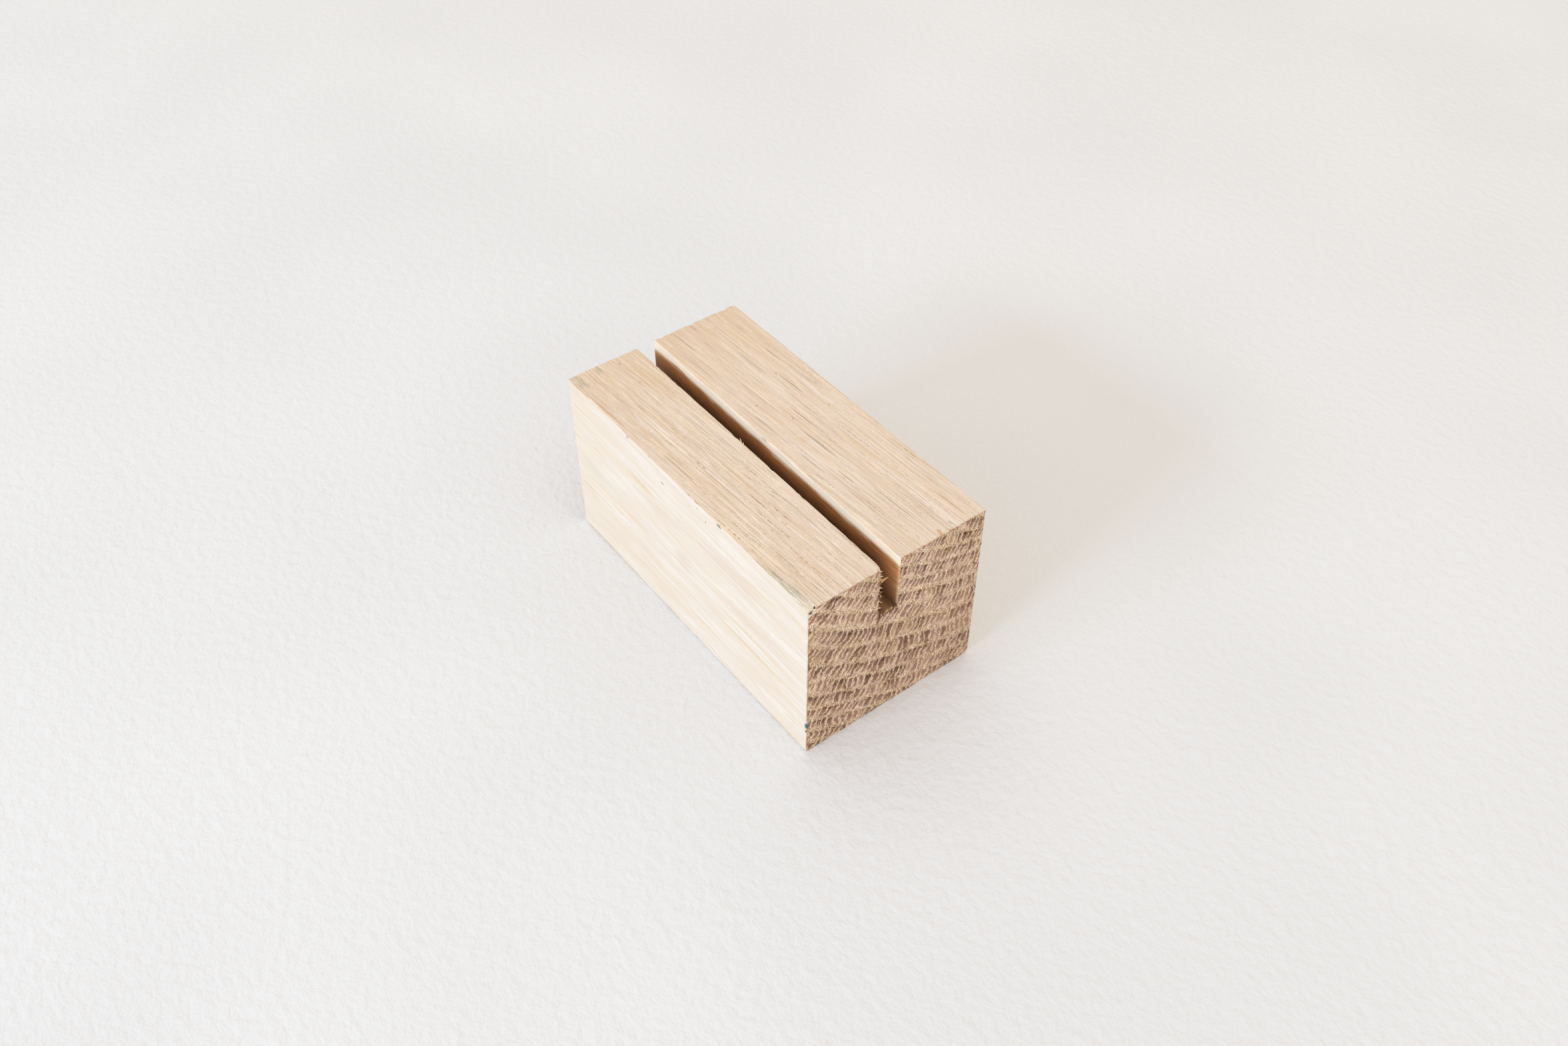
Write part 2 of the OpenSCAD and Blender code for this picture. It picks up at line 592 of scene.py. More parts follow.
@dataclass(frozen=True)
class EndGrain:
    """The ends, cut across the grain by a saw and left rough.

    A share says how much of a colour shows, a light how far something moves the
    brightness, and a span or an edge where a mask starts and where it is full. The marks
    are on the near end only.
    """

    name: str = "end_grain"
    sand: Colour = linear(212, 182, 152)
    pale: Colour = linear(225, 195, 169)
    patch: Colour = linear(162, 126, 103)
    patch_dark: Colour = linear(102, 72, 56)
    # Painted shade inside the open pores.
    painted_pore_shade: Colour = linear(84, 52, 33)
    bead: Colour = linear(252, 232, 196)
    warm: Colour = linear(234, 204, 150)
    cool: Colour = linear(206, 172, 160)
    hatch_fray: float = 0.80
    fuzz_fray: float = 0.70
    grit_fray: float = 0.30
    patch_edge: tuple[float, float] = (0.14, 0.82)
    broad_rays: tuple[float, ...] = (-51.8, -46.6, -38.8, -31.7, -28.6)
    ray_edge: tuple[float, float] = (0.18, 0.06)
    ray_waver: float = 0.05
    ray_share: float = 0.5
    blush_span: float = 0.6
    warm_share: float = 0.35
    cool_share: float = 0.30
    bead_share: float = 0.54
    hole_share: float = 0.60
    inner_radius: float = 72.0
    outer_radius: float = 100.0
    fading: float = 0.10
    brightness: float = 1.02
    fleck_span: tuple[float, float] = (-0.35, 0.35)
    fleck_light: float = 0.28
    grit_light: float = 0.75
    hatch_light: float = 0.66
    tint_light: float = 0.20
    rear_span: tuple[float, float] = (0.0, 12.0)
    rear_shade: float = 0.06
    depth: tuple[float, float] = (1.3, 1.6)
    clean_span: tuple[float, float] = (1.0, 0.0)
    fuzz_relief: float = 0.012
    grit_relief: float = 0.004
    hatch_relief: float = 0.006
    patch_sink: float = 0.02
    hole_sink: float = 0.004
    rough_spread: float = 0.06
    rough: float = 0.86
    shine: float = 0.2
    pore_pitch: float = 0.46
    pore_size: float = 0.10
    pore_spread: float = 0.14
    pore_rim: float = 0.12
    bead_pitch: float = 0.37
    bead_edge: tuple[float, float] = (0.44, 0.16)
    early_pull: float = 0.6
    pore_pull: float = 0.6
    bead_pull: float = 0.7
    pore_span: tuple[float, float] = (0.85, 1.05)
    bead_span: tuple[float, float] = (0.60, 1.0)
    flame_pitch: float = 1.05
    swirl_depth: float = 0.36
    slow_depth: float = 0.9
    year_shift: float = 0.37
    ragged: float = 0.16
    patch_width: float = 0.50
    patch_spread: float = 0.36
    patch_taper: float = 0.22
    patch_soft: float = 0.16
    patch_full: float = 0.12
    head_curve: float = 0.07
    head_spread: float = 0.05
    head_fray: float = 0.06
    head_span: tuple[float, float] = (0.07, 0.19)
    tail_place: float = 0.50
    tail_spread: float = 0.32
    tail_fray: float = 0.08
    tail_length: float = 0.24
    strength: float = 0.46
    patch_lots: tuple[float, float, float] = (0.40, 0.25, 0.45)
    front_span: tuple[float, float] = (2.0, -15.0)
    front_strength: float = 0.20
    dark_span: tuple[float, float] = (0.6, 0.12)
    dark_shares: tuple[float, float] = (0.7, 0.4)
    fuzz: Threads = Threads(0.5, 0.24, 1.0, 1.0, 0.7)
    grit: Threads = Threads(0.4, 0.12, 2.0, 0.0)
    tint: Threads = Threads(9.0, 2.2, 3.0)
    blush: Threads = Threads(1.0, 0.55, 12.0, 1.0)
    hatch: Swirls = Swirls(0.19, 1.1, 20.0)
    swirl: Swirls = Swirls(1.2, 1.2, 30.0)
    slow: Swirls = Swirls(7.0, 4.0, 60.0)
    region: Swirls = Swirls(6.0, 3.5, 60.0, 9.0)
    grain: Grain = Grain()
    marks: tuple[Spots, ...] = ()

    def material(self) -> bpy.types.Material:
        """Builds the finish."""
        graph = Graph(self.name)
        wood = self.grain.rings(graph)
        fuzz, grit, hatch = (t.at(graph, wood) for t in (self.fuzz, self.grit, self.hatch))
        patch, depth = self._patches(graph, wood, fuzz)
        colour = graph.blend(wood.early, self.pale, self.sand)
        dark = graph.blend(depth, self.patch, self.patch_dark)
        frayed = patch + hatch * self.hatch_fray + fuzz * self.fuzz_fray + grit * self.grit_fray
        colour = graph.blend(frayed.rise(*self.patch_edge), colour, dark)
        colour = graph.blend(self._rays(wood, hatch) * self.ray_share, colour, self.pale)
        blush = self.blush.at(graph, wood)
        warm = blush.rise(0.0, self.blush_span) * self.warm_share
        cool = blush.rise(0.0, -self.blush_span) * self.cool_share
        colour = graph.blend(cool, graph.blend(warm, colour, self.warm), self.cool)
        hole, bead = self._pores(graph, wood)
        colour = graph.blend(bead * self.bead_share, colour, self.bead)
        # Painted shade inside the open pores.
        colour = graph.blend(hole * self.hole_share, colour, self.painted_pore_shade)
        heart = wood.radius.rise(self.outer_radius, self.inner_radius) * self.fading
        flecks = fuzz.rise(*self.fleck_span) - 0.5
        light = flecks * self.fleck_light + grit * self.grit_light + hatch * self.hatch_light
        light = light + heart + (self.brightness - self.fading / 2)
        light = light + self.tint.at(graph, wood) * self.tint_light
        light = light - wood.y.rise(*self.rear_span) * self.rear_shade
        plain = graph.deepened(colour, light, self.depth)
        colour = plain
        for mark in self.marks:
            colour = mark.lay(graph, wood, self.grain.tree, colour)
        colour = graph.blend(wood.x.rise(*self.clean_span), colour, plain)
        height = fuzz * self.fuzz_relief + grit * self.grit_relief + hatch * self.hatch_relief
        height = height - patch * self.patch_sink - hole * self.hole_sink
        return graph.finish(colour, fuzz * self.rough_spread + self.rough, height, self.shine)

    def _rays(self, wood: RingedWood, hatch: Field) -> Field:
        """The broad rays, which run out from the pith.

        Args:
            wood: The wood's fields.
            hatch: The fine hatching, which makes the rays waver.

        Returns:
            A mask of the rays.
        """
        streak: Value = 0.0
        for place in self.broad_rays:
            off = abs(wood.around - place + hatch * self.ray_waver)
            streak = off.rise(*self.ray_edge).larger(streak)
        return streak

    def _pores(self, graph: Graph, wood: RingedWood) -> tuple[Field, Field]:
        """The open pores in the early wood of each ring, with painted shade darkening them
        inside.

        Args:
            graph: The material's graph.
            wood: The wood's fields.

        Returns:
            A mask of the holes, and one of the pale beads of fibre between them.
        """
        distance, lot = graph.pits(wood.around / self.pore_pitch, wood.radius / self.pore_pitch)
        size = lot * self.pore_spread + self.pore_size
        held = (wood.early * self.early_pull + lot * self.pore_pull).rise(*self.pore_span)
        hole = distance.rise(size + self.pore_rim, size) * held
        distance, lot = graph.pits(wood.around / self.bead_pitch, wood.radius / self.bead_pitch)
        held = (wood.early * self.early_pull + lot * self.bead_pull).rise(*self.bead_span)
        return hole, distance.rise(*self.bead_edge) * held

    def _patches(self, graph: Graph, wood: RingedWood, fuzz: Field) -> tuple[Field, Field]:
        """The dark patches of late wood, parted by pale rays.

        Args:
            graph: The material's graph.
            wood: The wood's fields.
            fuzz: The loose fibre, which frays the patches' edges.

        Returns:
            A mask of the patches, and how dark each place of them is.
        """
        swirl = self.swirl.at(graph, wood) * self.swirl_depth
        slow = self.slow.at(graph, wood) * self.slow_depth
        strand = wood.around / self.flame_pitch + swirl + slow + wood.year * self.year_shift
        strand = strand + fuzz * self.ragged
        part = strand % 1.0
        lot = graph.lot(strand - part, wood.year)
        other = graph.lot(wood.year, strand - part)
        off = abs(part - 0.5) * 2.0
        share = lot * self.patch_spread + self.patch_width - wood.phase * self.patch_taper
        middle = off.rise(share + self.patch_soft, share - self.patch_full)
        head = wood.phase - off * off * self.head_curve + other * self.head_spread
        head = (head + fuzz * self.head_fray).rise(*self.head_span)
        end = other * self.tail_spread + self.tail_place
        tail = (wood.phase + fuzz * self.tail_fray).rise(end + self.tail_length, end)
        lot_pull, other_pull, region_pull = self.patch_lots
        strength = lot * lot_pull + other * other_pull + self.region.at(graph, wood) * region_pull
        strength = strength + wood.y.rise(*self.front_span) * self.front_strength + self.strength
        mask = middle * head * tail * strength
        late, spread = self.dark_shares
        return mask, (wood.phase.rise(*self.dark_span) * late + other * spread) * mask


@dataclass(frozen=True)
class LongGrain:
    """A face cut along the grain, with streaks that follow the fibres.

    The front gain is how much stronger the fine lines are towards the front side. Where
    the marks are on the front only, the rear side shows none of them.
    """

    name: str
    base: Colour
    streaks: tuple[Streaks, ...]
    aged: Colour
    aged_share: float = 0.0
    vessel: Colour = linear(160, 116, 78)
    vessel_share: float = 0.5
    line_share: float = 0.05
    grit_share: float = 0.03
    front_gain: float = 0.0
    depth: tuple[float, float] = (1.5, 2.1)
    marks_on_front_only: bool = False
    rough: float = 0.7
    rough_spread: float = 0.08
    shine: float = 0.3
    relief: float = 0.012
    hair_relief: float = 0.5
    grit_relief: float = 0.4
    hole_sink: float = 2.0
    aged_span: tuple[float, float] = (-10.0, -31.0)
    front_span: tuple[float, float] = (-1.5, -5.0)
    vessel_span: tuple[float, float] = (0.32, 0.62)
    vessel_reach: tuple[float, float] = (-30.0, 8.0)
    bead_span: tuple[float, float] = (-0.2, 0.3)
    clean_span: tuple[float, float] = (0.0, 1.0)
    hair_line: float = 0.6
    fibre_line: float = 0.5
    fibre: Threads = Threads(12.0, 0.30, 0.0)
    hair: Threads = Threads(2.6, 0.11, 5.0)
    grit: Threads = Threads(0.35, 0.12, 6.0, 1.0)
    vessels: Threads = Threads(16.0, 0.16, 7.0, 1.0)
    bead: Threads = Threads(0.45, 0.5, 8.0, 1.0)
    grain: Grain = Grain()
    rows: VesselRows = VesselRows()
    marks: tuple[Spots, ...] = ()

    def material(self) -> bpy.types.Material:
        """Builds the finish."""
        graph = Graph(self.name)
        wood = self.grain.fibres(graph)
        tree = self.grain.tree
        colour: Tint = self.base
        for streak in self.streaks:
            colour = streak.lay(graph, wood, colour)
        aged = wood.x.rise(*self.aged_span) * self.aged_share
        colour = graph.blend(aged, colour, self.aged)
        fibre, hair, grit = (t.at(graph, wood) for t in (self.fibre, self.hair, self.grit))
        front = wood.y.rise(*self.front_span) * self.front_gain + 1.0
        hole = self.vessels.at(graph, wood).rise(*self.vessel_span)
        hole = hole * self.bead.at(graph, wood).rise(*self.bead_span)
        hole = hole * wood.x.rise(*self.vessel_reach)
        colour = graph.blend((hole * self.vessel_share * front).smaller(1.0), colour, self.vessel)
        lines = (hair * self.hair_line + fibre * self.fibre_line) * front * self.line_share
        light = lines + grit * self.grit_share + 1.0
        colour = graph.deepened(colour, light, self.depth)
        if self.rows.rows:
            colour = self.rows.lay(graph, wood, tree, colour)
        plain = colour
        for mark in self.marks:
            colour = mark.lay(graph, wood, tree, colour)
        if self.marks_on_front_only:
            colour = graph.blend(wood.y.rise(*self.clean_span), colour, plain)
        height = fibre + hair * self.hair_relief + grit * self.grit_relief - hole * self.hole_sink
        roughness = fibre * self.rough_spread + self.rough
        return graph.finish(colour, roughness, height * self.relief, self.shine)


@dataclass(frozen=True)
class SlotWall:
    """The inside of the slot, darker towards its floor, with its light and shade painted in."""

    name: str = "slot_wall"
    # Painted light and shade: the colours of the rims and of the band under them are a painted
    # highlight of the window light that passes over the front cheek. The brown below them is the
    # wall's tone with the front cheek's painted shadow in it. The colour further down is painted
    # shade towards the floor. The mouth colour is painted light near the open end. The edge
    # colour is painted light at the end itself, together with the paler torn fibres there.
    painted_rim_highlight: Colour = linear(242, 223, 203)
    painted_band_highlight: Colour = linear(255, 238, 213)
    edge: Colour = linear(246, 212, 168)
    mouth: Colour = linear(222, 166, 114)
    brown: Colour = linear(196, 138, 90)
    painted_floor_shade: Colour = linear(140, 104, 77)
    grain: Grain = Grain()
    top: float = 31.0
    rim_depth: float = 0.5
    lit_depth: float = 1.3
    brown_from: float = 2.15
    deep_from: float = 5.0
    mouth_length: float = 6.0
    mouth_depth: tuple[float, float] = (10.5, 5.5)
    mouth_full: float = 0.3
    mouth_share: float = 0.72
    edge_span: tuple[float, float] = (0.7, 0.1)
    edge_depth: tuple[float, float] = (9.8, 8.8)
    edge_share: float = 0.62
    fibre_waver: float = 0.45
    drift_waver: float = 0.7
    hair_waver: float = 0.8
    marks: tuple[float, float, float] = (0.34, 0.30, 0.34)
    marks_lit: float = 0.9
    marks_rim: float = 0.10
    relief: tuple[float, float, float] = (0.015, 0.012, 0.02)
    rough: float = 0.78
    rough_spread: float = 0.06
    shine: float = 0.25
    saw_middle: tuple[float, float] = (12.0, 118.0)
    saw_radius: float = 97.0
    scratch_width: float = 0.22
    scratch_length: float = 9.0
    fibre: Threads = Threads(9.0, 0.30, 0.0)
    hair: Threads = Threads(2.0, 0.12, 5.0)
    drift: Threads = Threads(7.0, 1.6, 3.0)

    def material(self) -> bpy.types.Material:
        """Builds the finish."""
        graph = Graph(self.name)
        wood = self.grain.fibres(graph)
        x, _, z = graph.place()
        fibre, hair, drift = (t.at(graph, wood) for t in (self.fibre, self.hair, self.drift))
        scratch = self._scratches(graph, x, z)
        down = self.top - z + fibre * self.fibre_waver + drift * self.drift_waver
        # Painted highlight under the rims, then the front cheek's painted shadow, then painted
        # shade that darkens towards the floor.
        lit = down.rise(self.lit_depth, self.brown_from)
        colour = graph.blend(down.rise(0.0, self.rim_depth), self.painted_rim_highlight, self.painted_band_highlight)
        colour = graph.blend(lit, colour, self.brown)
        colour = graph.blend(down.rise(self.brown_from, self.deep_from), colour, self.painted_floor_shade)
        # Painted light that comes in at the open end: paler and more orange near it, with a paler
        # strip at the end itself, where the torn fibres are also paler.
        inward = self.grain.tree.near_x - x + hair * self.hair_waver
        near = inward.rise(self.mouth_length, self.mouth_full) * down.rise(*self.mouth_depth)
        colour = graph.blend(near * lit * self.mouth_share, colour, self.mouth)
        painted_mouth_light = inward.rise(*self.edge_span) * lit * down.rise(*self.edge_depth)
        colour = graph.blend(painted_mouth_light * self.edge_share, colour, self.edge)
        marks = self._weighed(self.marks, fibre, hair, scratch)
        marks = marks * (lit * self.marks_lit + self.marks_rim)
        colour = graph.scaled(colour, marks + 1.0)
        height = self._weighed(self.relief, fibre, hair, scratch)
        return graph.finish(colour, hair * self.rough_spread + self.rough, height, self.shine)

    @staticmethod
    def _weighed(shares: tuple[float, float, float], first: Field, *rest: Field) -> Field:
        """Adds up fields, each by its own share.

        Args:
            shares: The share of each field.
            first: The first field.
            rest: The others.

        Returns:
            The sum.
        """
        total = first * shares[0]
        for value, share in zip(rest, shares[1:]):
            total = total + value * share
        return total

    def _scratches(self, graph: Graph, x: Field, z: Field) -> Field:
        """Arcs that the teeth of a big round blade leave on the walls."""
        off_x, off_z = x - self.saw_middle[0], z - self.saw_middle[1]
        reach = (off_x * off_x + off_z * off_z) ** 0.5 - self.saw_radius
        return graph.clouds(reach / self.scratch_width, x / self.scratch_length, 0.0, 1.0)


@dataclass(frozen=True)
class LooseFibre:
    """Torn wood that stands proud of a sawn edge."""

    name: str = "loose_fibre"
    pale: Colour = linear(236, 212, 176)
    brown: Colour = linear(198, 146, 96)
    length: float = 0.6
    width: float = 0.12
    span: tuple[float, float] = (-0.5, 0.6)
    rough: float = 0.8
    rough_spread: float = 0.05
    relief: float = 0.01
    shine: float = 0.25

    def material(self) -> bpy.types.Material:
        """Builds the finish."""
        graph = Graph(self.name)
        x, y, z = graph.place()
        grain = graph.clouds(x / self.length, y / self.width, z / self.width)
        colour = graph.blend(grain.rise(*self.span), self.pale, self.brown)
        roughness = grain * self.rough_spread + self.rough
        return graph.finish(colour, roughness, grain * self.relief, self.shine)


@dataclass(frozen=True)
class TableTop:
    """The plain pale paint of the table."""

    name: str = "pale_table"
    colour: Colour = linear(237, 236, 236)
    shade: Colour = linear(233, 232, 232)
    lump: float = 1.8
    cloud: float = 60.0
    relief: float = 0.10
    span: float = 0.6
    rough: float = 0.7
    rough_spread: float = 0.05
    shine: float = 0.2

    def material(self) -> bpy.types.Material:
        """Builds the finish."""
        graph = Graph(self.name)
        x, y, z = graph.place()
        soft = graph.clouds(x / self.lump, y / self.lump, z, 3.0, 0.6)
        wide = graph.clouds(x / self.cloud, y / self.cloud, z, 1.0)
        colour = graph.blend(wide.rise(-self.span, self.span), self.colour, self.shade)
        roughness = soft * self.rough_spread + self.rough
        return graph.finish(colour, roughness, soft * self.relief, self.shine)


@dataclass
class Studio:
    """The table, the light and the camera."""

    azimuth: float = 52.73
    elevation: float = 44.83
    distance: float = 242.96
    aside: float = 2.49
    above: float = 9.86
    lens: float = 34.17
    sensor: float = 36.0
    table_reach: float = 3000.0
    window_distance: float = 1400.0
    window_azimuth: float = 2.0
    window_height: float = 23.0
    window_width: float = 560.0
    window_depth: float = 200.0
    window_power: float = 7.2
    window_colour: Colour = (0.68, 0.98, 1.34)
    room: Colour = (0.925, 0.875, 0.81)

    def set_up(self) -> None:
        """Makes the table, the window, the room and the camera."""
        self._table()
        self._window()
        self._room()
        self._camera()
        bpy.context.scene.view_settings.view_transform = "Standard"

    def _table(self) -> None:
        """Lays the table top under the block."""
        w = self.table_reach * MM
        mesh = bpy.data.meshes.new("table")
        mesh.from_pydata([(-w, -w, 0), (w, -w, 0), (w, w, 0), (-w, w, 0)], [], [(0, 1, 2, 3)])
        mesh.materials.append(TableTop().material())
        table = bpy.data.objects.new("table", mesh)
        bpy.context.scene.collection.objects.link(table)

    def _camera(self) -> None:
        """Puts the camera at the photograph's viewpoint."""
        a, e = math.radians(self.azimuth), math.radians(self.elevation)
        back = Vector((math.sin(a) * math.cos(e), -math.cos(a) * math.cos(e), math.sin(e)))
        right = Vector((0, 0, 1)).cross(back).normalized()
        up = back.cross(right)
        data = bpy.data.cameras.new("camera")
        data.lens = self.lens
        data.sensor_width = self.sensor
        data.clip_start = 10 * MM
        camera = bpy.data.objects.new("camera", data)
        turn = Matrix((right, up, back)).transposed().to_4x4()
        place = (back * self.distance + right * self.aside + up * self.above) * MM
        camera.matrix_world = Matrix.Translation(place) @ turn
        bpy.context.scene.collection.objects.link(camera)
        bpy.context.scene.camera = camera

    def _window(self) -> None:
        """Hangs one soft lamp low on the front side, like a wide window."""
        data = bpy.data.lights.new("window", "AREA")
        data.shape = "RECTANGLE"
        data.size = self.window_width * MM
        data.size_y = self.window_depth * MM
        data.energy = self.window_power
        data.color = self.window_colour
        lamp = bpy.data.objects.new("window", data)
        a, e = math.radians(self.window_azimuth), math.radians(self.window_height)
        toward = Vector((math.sin(a) * math.cos(e), -math.cos(a) * math.cos(e), math.sin(e)))
        lamp.location = toward * self.window_distance * MM
        lamp.rotation_mode = "QUATERNION"
        lamp.rotation_quaternion = toward.to_track_quat("Z", "Y")
        bpy.context.scene.collection.objects.link(lamp)

    def _room(self) -> None:
        """Gives even light from all round."""
        world = bpy.data.worlds.new("room")
        world.use_nodes = True
        world.node_tree.nodes["Background"].inputs[0].default_value = (*self.room, 1.0)
        bpy.context.scene.world = world


def graded(low: float, high: float, fine: float, coarse: float, reach: float) -> np.ndarray:
    """Stations from low to high, close together near both ends.

    Args:
        low: First station.
        high: Last station.
        fine: Spacing within reach of an end.
        coarse: Spacing between.
        reach: How far the close spacing goes.

    Returns:
        The stations, both ends included.
    """
    close = np.linspace(0.0, reach, round(reach / fine) + 1)
    inner = high - low - 2 * reach
    wide = np.linspace(0.0, inner, max(1, round(inner / coarse)) + 1)
    return np.concatenate([low + close[:-1], low + reach + wide, high - close[-2::-1]])


def eased(first: np.ndarray, second: np.ndarray, radius: float | np.ndarray) -> np.ndarray:
    """Joins two flats at an arris of the given radius.

    Args:
        first: How far each place is outside the first flat.
        second: How far it is outside the second.
        radius: The arris's radius.

    Returns:
        How far each place is outside the wood between the two.
    """
    corner = np.hypot(np.maximum(first + radius, 0), np.maximum(second + radius, 0))
    return np.minimum(np.maximum(first, second), -radius) + corner


def rough(places: np.ndarray, size: Point, seed: int) -> np.ndarray:
    """Smooth noise at some places.

    Args:
        places: The places, one in each row.
        size: The size of the noise's lumps along X, Y and Z.
        seed: Which noise it is.

    Returns:
        One value for each place, mostly from -0.5 to 0.5.
    """
    shifted = places / np.array(size) + seed * SEED_STEP
    return np.array([noise.noise(place) for place in shifted.tolist()])


def fade(distance: np.ndarray, reach: float) -> np.ndarray:
    """Falls smoothly from 1 at an edge to nothing a few reaches away."""
    return np.exp(-((distance / reach) ** 2))


@dataclass(frozen=True)
class Tear:
    """Wood that is torn away in lumps near an edge, or all over a rough face."""

    depth: float
    reach: float
    lump: Point
    seed: int
    fill: float = 0.0

    def at(self, places: np.ndarray, distance: np.ndarray | float = 0.0) -> np.ndarray:
        """How much wood is gone.

        Args:
            places: The places, one in each row.
            distance: How far each is from the edge.

        Returns:
            Depths in millimetres.
        """
        lumps = np.maximum(rough(places, self.lump, self.seed) + self.fill, 0)
        near = fade(distance, self.reach) if self.reach else 1.0
        return self.depth * lumps * near


@dataclass(frozen=True)
class CornerCut:
    """A slanting break across a corner of the near end."""

    corner_y: float
    toward: int
    length: float
    width: float
    drop: float

    def outside(self, places: np.ndarray, near_x: float, top_z: float) -> np.ndarray:
        """How far each place is outside the break.

        Args:
            places: The places, one in each row.
            near_x: Place of the near end.
            top_z: Place of the top.

        Returns:
            One distance for each place.
        """
        normal = np.array([1 / self.length, -self.toward / self.width, 1 / self.drop])
        level = (places - (near_x, self.corner_y, top_z)) @ normal + 1
        return level / np.linalg.norm(normal)


@dataclass
class Block:
    """The oak block, as a fine skin of quads that is eased, worn and torn at its edges."""

    low: np.ndarray
    high: np.ndarray
    slot_mid: float
    slot_crown: float
    kerf: float = 3.2
    floor_crown: float = 0.5
    arris: float = 0.25
    toe: float = 0.4
    heel: float = 1.0
    front_lip: float = 0.15
    rear_lip: float = 0.3
    end_arris: float = 0.15
    cut_arris: float = 0.05
    wane: tuple[float, float, float] = (12.5, 1.3, 0.4)
    chip: tuple[float, float, float] = (1.5, 2.0, 1.1)
    lip_break: tuple[float, float, float] = (1.0, 0.75, 1.4)
    fine: float = 0.09
    coarse_across: float = 0.27
    coarse_along: float = 0.75
    reach: float = 0.36
    near_reach: float = 2.4
    near_steps: int = 14
    tree: Tree = field(default_factory=Tree)
    near_tear: Tear = Tear(0.30, 0.30, (0.7, 0.4, 0.4), 2)
    far_tear: Tear = Tear(0.32, 0.35, (0.9, 0.5, 0.5), 1)
    mouth_tear: Tear = Tear(1.35, 0.42, (0.6, 0.5, 0.36), 5, 0.04)
    floor_tear: Tear = Tear(0.90, 0.40, (0.6, 0.33, 0.6), 6)
    arris_tear: Tear = Tear(0.22, 0.25, (3.0, 0.5, 0.5), 4)
    lip_tear: Tear = Tear(0.24, 0.18, (1.5, 0.5, 0.5), 7)
    saw_fuzz: Tear = Tear(0.10, 0.0, (0.5, 0.22, 0.22), 3, 0.5)
    saw_lumps: Tear = Tear(0.08, 0.0, (0.7, 0.4, 0.4), 8, 0.5)
    pore_sink: float = 0.07
    pore_spread: float = 0.16
    floor_margin: float = 0.5
    floor_beside: float = 0.2
    settle_steps: int = 4

    def __post_init__(self) -> None:
        """Works out the places that the sizes give."""
        self.slot_front = self.slot_mid - self.kerf / 2
        self.slot_rear = self.slot_mid + self.kerf / 2
        self.slot_floor = self.slot_crown - self.floor_crown
        front_y = self.low[1]
        self.cuts = (CornerCut(front_y, 1, *self.wane), CornerCut(front_y, 1, *self.chip))
        self.mouth_cut = CornerCut(self.slot_front, -1, *self.lip_break)

    def build(self) -> bpy.types.Object:
        """Makes the mesh and its object."""
        corners, quads, faces = self._skin()
        depth = self._wear(corners)
        places = self._settle(corners, depth)
        mesh = bpy.data.meshes.new("oak_block")
        mesh.from_pydata((places * MM).tolist(), [], quads.tolist())
        mesh.polygons.foreach_set("use_smooth", [True] * len(mesh.polygons))
        slots = {Face.NEAR_END: 0, Face.FAR_END: 0, Face.TOP: 1, Face.BASE: 1, Face.FRONT: 2,
                 Face.REAR: 2}
        slot_of = np.array([slots.get(face, 3) for face in Face])
        mesh.polygons.foreach_set("material_index", slot_of[faces])
        made = bpy.data.objects.new("oak_block", mesh)
        bpy.context.scene.collection.objects.link(made)
        return made

    def _stations(self) -> tuple[np.ndarray, np.ndarray, np.ndarray]:
        """The planes that part the cells along X, Y and Z."""
        near = self.high[0] - self.near_reach
        xs = graded(self.low[0], near, self.fine, self.coarse_along, self.reach)
        xs = xs[: len(xs) - round(self.reach / self.fine) - 1]
        xs = np.append(xs, np.linspace(near, self.high[0], self.near_steps + 1))
        ys = self._chain(self.low[1], self.slot_front, self.slot_rear, self.high[1])
        zs = self._chain(self.low[2], self.slot_floor, self.high[2])
        return xs, ys, zs

    def _chain(self, *edges: float) -> np.ndarray:
        """Graded stations through several edges."""
        spans = [graded(a, b, self.fine, self.coarse_across, self.reach)[:-1]
                 for a, b in zip(edges, edges[1:])]
        return np.append(np.concatenate(spans), edges[-1])

    def _skin(self) -> tuple[np.ndarray, np.ndarray, np.ndarray]:
        """Finds the quads between the wood's cells and the air.

        Returns:
            The corners, the quads, and the face of the block that each quad is on.
        """
        stations = self._stations()
        middles = [(s[1:] + s[:-1]) / 2 for s in stations]
        wood = np.ones([len(m) for m in middles], bool)
        open_y = np.abs(middles[1] - self.slot_mid) < self.kerf / 2
        open_z = middles[2] > self.slot_floor
        wood &= ~(open_y[:, None] & open_z[None, :])
        shape = [len(s) for s in stations]
        quads, faces = [], []
        for axis in range(3):
            for side in (1, -1):
                cells, ring = self._boundary(wood, axis, side)
                quads.append(np.stack([np.ravel_multi_index(r.T, shape) for r in ring], 1))
                faces.append(self._face_of(axis, side, open_y, open_z, cells))
        used, quads = np.unique(np.concatenate(quads), return_inverse=True)
        corners = np.stack([s[i] for s, i in zip(stations, np.unravel_index(used, shape))], 1)
        return corners, quads.reshape(-1, 4), np.concatenate(faces)

    @staticmethod
    def _boundary(wood: np.ndarray, axis: int, side: int) -> tuple[np.ndarray, list[np.ndarray]]:
        """The sides of cells that face the air one way.

        Args:
            wood: Which cells are wood.
            axis: The axis that the sides are square to.
            side: 1 where the air is at the higher end, and -1 at the lower.

        Returns:
            The cells, and the four corners of each side, anticlockwise from outside.
        """
        beyond = np.zeros_like(wood)
        inner = [slice(None)] * 3
        outer = [slice(None)] * 3
        inner[axis] = slice(None, -1) if side > 0 else slice(1, None)
        outer[axis] = slice(1, None) if side > 0 else slice(None, -1)
        beyond[tuple(inner)] = wood[tuple(outer)]
        cells = np.argwhere(wood & ~beyond)
        first = cells.copy()
        first[:, axis] += side > 0
        u, v = np.roll(np.eye(3, dtype=int), -axis - 1, axis=0)[:2]
        if side < 0:
            u, v = v, u
        return cells, [first, first + u, first + u + v, first + v]

